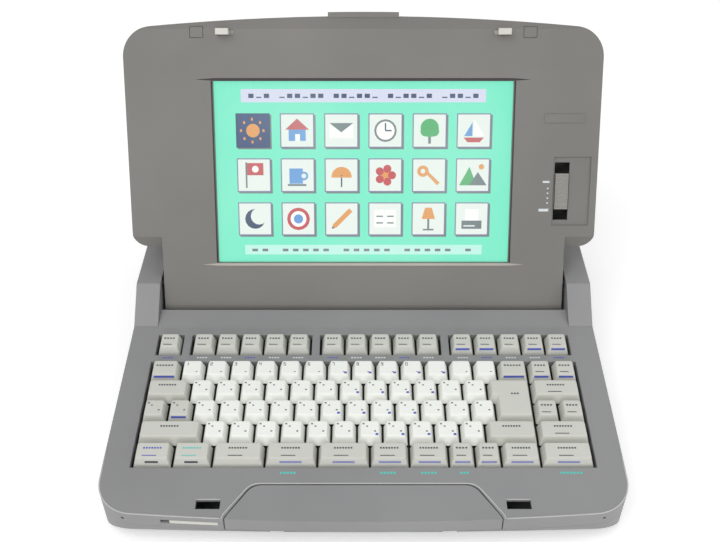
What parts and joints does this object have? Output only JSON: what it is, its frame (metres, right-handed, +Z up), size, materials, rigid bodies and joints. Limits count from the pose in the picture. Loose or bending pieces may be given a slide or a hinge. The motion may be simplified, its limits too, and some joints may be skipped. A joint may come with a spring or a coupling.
{
  "type": "electronic word processor",
  "caption": "Portable word processor: keyboard base with built-in printer and disk drive, colour display lid on two hinge towers, pull-out carry handle.",
  "frame": {"origin": "on the table, under the middle of the machine's width and depth, lid open", "axes": "+X user's right, +Y to the back, +Z up"},
  "size_m": [0.381, 0.336, 0.2584],
  "materials": {
    "case_grey": "fine moulded texture",
    "case_lower": "fine moulded texture",
    "lid_grey": "fine moulded texture",
    "key_white": "satin",
    "key_grey": "satin",
    "black_plastic": "matt",
    "pale_plastic": "satin",
    "gear_plastic": "satin",
    "steel": "plated sheet",
    "rubber": "matt",
    "screen_glass": "clear, low reflection",
    "display": "matt display module",
    "board": "solder mask"
  },
  "bodies": {
    "base": {"bottom_case": "case_lower", "upper_deck": "case_grey", "hinge_towers": "case_grey", "rear_housing": "case_grey", "rubber_feet": "rubber", "case_screws": "steel", "keyboard_plate": "black_plastic", "key_membrane": "black_plastic", "keyboard_backing": "steel", "hinge_brackets": "steel", "hinge_pins": "steel", "printer_frame": "steel", "guide_shaft": "steel", "feed_motor": "steel", "carriage_belt": "rubber", "carriage_motor": "steel", "floppy_drive": "black_plastic", "power_supply": "steel", "power_inlet": "black_plastic", "switch_frame": "black_plastic", "main_board": "board"},
    "lid": {"lid_bezel": "lid_grey", "lid_back_shell": "lid_grey", "lcd_window": "screen_glass", "lcd_panel": "display", "backlight_lamp": "screen_glass", "lid_boards": "board", "lid_pads": "rubber"},
    "platen": {"platen_shaft": "steel", "platen_roller": "rubber", "platen_knob": "case_grey", "platen_gear": "gear_plastic"},
    "carriage": {"print_carriage": "black_plastic", "thermal_head": "steel", "ribbon_cassette": "case_lower"},
    "bottom_row_keys": {"bottom_row_keys": "key_grey"},
    "lower_letter_keys": {"lower_letter_keys": "key_white"},
    "shift_keys": {"shift_keys": "key_grey"},
    "home_letter_keys": {"home_letter_keys": "key_white"},
    "upper_letter_keys": {"upper_letter_keys": "key_white"},
    "number_row_keys": {"number_row_keys": "key_white"},
    "edit_keys": {"edit_keys": "key_grey"},
    "function_keys": {"function_keys": "key_grey"},
    "enter_key": {"enter_key": "key_grey"},
    "contrast_slider": {"contrast_slider": "lid_grey"},
    "latch_slide_right": {"latch_slide_right": "pale_plastic"},
    "latch_slide_left": {"latch_slide_left": "pale_plastic"},
    "latch_button": {"latch_button": "lid_grey"},
    "carry_handle": {"carry_handle": "case_grey"},
    "handle_catch": {"handle_catch": "pale_plastic"},
    "printer_cover": {"printer_cover": "case_grey"},
    "paper_guide": {"paper_guide": "case_lower"},
    "paper_release_lever": {"paper_release_lever": "case_lower"},
    "idler_gear": {"idler_gear": "gear_plastic"},
    "motor_pinion": {"motor_pinion": "gear_plastic"},
    "drive_pulley": {"drive_pulley": "gear_plastic"},
    "return_pulley": {"return_pulley": "gear_plastic"},
    "floppy_door": {"floppy_door": "black_plastic"},
    "eject_button": {"eject_button": "pale_plastic"},
    "power_switch": {"power_switch": "black_plastic"}
  },
  "joints": [
    {"name": "lid_hinge", "type": "hinge", "parent": "base", "child": "lid", "pos_m": [0, 0.04609, 0.06518], "axis": [1, 0, 0], "range_deg": [-6, 122.8]},
    {"name": "bottom_row_press", "type": "slide", "parent": "base", "child": "bottom_row_keys", "axis": [0, 0.0872, -0.9962], "range_m": [0, 0.003], "stiffness_N_per_m": 600, "springref_m": -0.0025},
    {"name": "lower_letter_press", "type": "slide", "parent": "base", "child": "lower_letter_keys", "axis": [0, 0.0872, -0.9962], "range_m": [0, 0.003], "stiffness_N_per_m": 600, "springref_m": -0.0025},
    {"name": "shift_press", "type": "slide", "parent": "base", "child": "shift_keys", "axis": [0, 0.0872, -0.9962], "range_m": [0, 0.003], "stiffness_N_per_m": 600, "springref_m": -0.0025},
    {"name": "home_letter_press", "type": "slide", "parent": "base", "child": "home_letter_keys", "axis": [0, 0.0872, -0.9962], "range_m": [0, 0.003], "stiffness_N_per_m": 600, "springref_m": -0.0025},
    {"name": "upper_letter_press", "type": "slide", "parent": "base", "child": "upper_letter_keys", "axis": [0, 0.0872, -0.9962], "range_m": [0, 0.003], "stiffness_N_per_m": 600, "springref_m": -0.0025},
    {"name": "number_row_press", "type": "slide", "parent": "base", "child": "number_row_keys", "axis": [0, 0.0872, -0.9962], "range_m": [0, 0.003], "stiffness_N_per_m": 600, "springref_m": -0.0025},
    {"name": "edit_press", "type": "slide", "parent": "base", "child": "edit_keys", "axis": [0, 0.0872, -0.9962], "range_m": [0, 0.003], "stiffness_N_per_m": 600, "springref_m": -0.0025},
    {"name": "function_press", "type": "slide", "parent": "base", "child": "function_keys", "axis": [0, 0.0872, -0.9962], "range_m": [0, 0.003], "stiffness_N_per_m": 600, "springref_m": -0.0025},
    {"name": "enter_press", "type": "slide", "parent": "base", "child": "enter_key", "axis": [0, 0.0872, -0.9962], "range_m": [0, 0.003], "stiffness_N_per_m": 600, "springref_m": -0.0025},
    {"name": "contrast_slide", "type": "slide", "parent": "lid", "child": "contrast_slider", "axis": [0, 0.4664, 0.8846], "range_m": [-0.008, 0.008]},
    {"name": "latch_button_press", "type": "slide", "parent": "lid", "child": "latch_button", "axis": [0, -0.4664, -0.8846], "range_m": [0, 0.0025], "stiffness_N_per_m": 300, "springref_m": -0.003},
    {"name": "latch_right_pull", "type": "slide", "parent": "lid", "child": "latch_slide_right", "axis": [-1, 0, 0], "range_m": [0, 0.0025]},
    {"name": "latch_left_pull", "type": "slide", "parent": "lid", "child": "latch_slide_left", "axis": [1, 0, 0], "range_m": [0, 0.0025]},
    {"name": "handle_pull", "type": "slide", "parent": "base", "child": "carry_handle", "axis": [0, -0.9962, -0.0872], "range_m": [0, 0.032]},
    {"name": "handle_catch_slide", "type": "slide", "parent": "base", "child": "handle_catch", "axis": [-1, 0, 0], "range_m": [0, 0.006]},
    {"name": "printer_cover_hinge", "type": "hinge", "parent": "base", "child": "printer_cover", "pos_m": [0, 0.14382, 0.0688], "axis": [-1, 0, 0], "range_deg": [0, 80]},
    {"name": "paper_guide_slide", "type": "slide", "parent": "base", "child": "paper_guide", "axis": [1, 0, 0], "range_m": [0, 0.06]},
    {"name": "paper_release", "type": "hinge", "parent": "base", "child": "paper_release_lever", "pos_m": [0, 0.12002, 0.0525], "axis": [1, 0, 0], "range_deg": [0, 20]},
    {"name": "platen_turn", "type": "hinge", "parent": "base", "child": "platen", "pos_m": [0, 0.12002, 0.0525], "axis": [1, 0, 0], "continuous": true},
    {"name": "idler_turn", "type": "hinge", "parent": "base", "child": "idler_gear", "pos_m": [0, 0.14437, 0.0525], "axis": [1, 0, 0], "continuous": true},
    {"name": "pinion_turn", "type": "hinge", "parent": "base", "child": "motor_pinion", "pos_m": [0, 0.1548, 0.04207], "axis": [1, 0, 0], "continuous": true},
    {"name": "carriage_slide", "type": "slide", "parent": "base", "child": "carriage", "axis": [1, 0, 0], "range_m": [-0.085, 0.085]},
    {"name": "drive_pulley_turn", "type": "hinge", "parent": "base", "child": "drive_pulley", "pos_m": [0.116, 0.08802, 0.038], "axis": [0, 0, 1], "range_deg": [-711, 711]},
    {"name": "return_pulley_turn", "type": "hinge", "parent": "base", "child": "return_pulley", "pos_m": [-0.116, 0.08802, 0.038], "axis": [0, 0, 1], "range_deg": [-711, 711]},
    {"name": "disk_door_hinge", "type": "hinge", "parent": "base", "child": "floppy_door", "pos_m": [0.18669, 0.0968, 0.02087], "axis": [0, 1, 0], "range_deg": [0, 75], "stiffness_Nm_per_rad": 0.002, "springref_deg": -17.19},
    {"name": "eject_press", "type": "slide", "parent": "base", "child": "eject_button", "axis": [-1, 0, 0], "range_m": [0, 0.004], "stiffness_N_per_m": 150, "springref_m": -0.002},
    {"name": "power_rocker", "type": "hinge", "parent": "base", "child": "power_switch", "pos_m": [-0.18349, 0.12602, 0.0175], "axis": [0, 0, 1], "range_deg": [0, 16]}
  ],
  "couplings": [
    {"joint": "idler_turn", "follows": "platen_turn", "ratio": -1.5},
    {"joint": "pinion_turn", "follows": "platen_turn", "ratio": 3},
    {"joint": "drive_pulley_turn", "follows": "carriage_slide", "rad_per_m": -144.93},
    {"joint": "return_pulley_turn", "follows": "carriage_slide", "rad_per_m": -144.93},
    {"joint": "latch_right_pull", "follows": "latch_button_press", "ratio": 1},
    {"joint": "latch_left_pull", "follows": "latch_button_press", "ratio": 1}
  ]
}
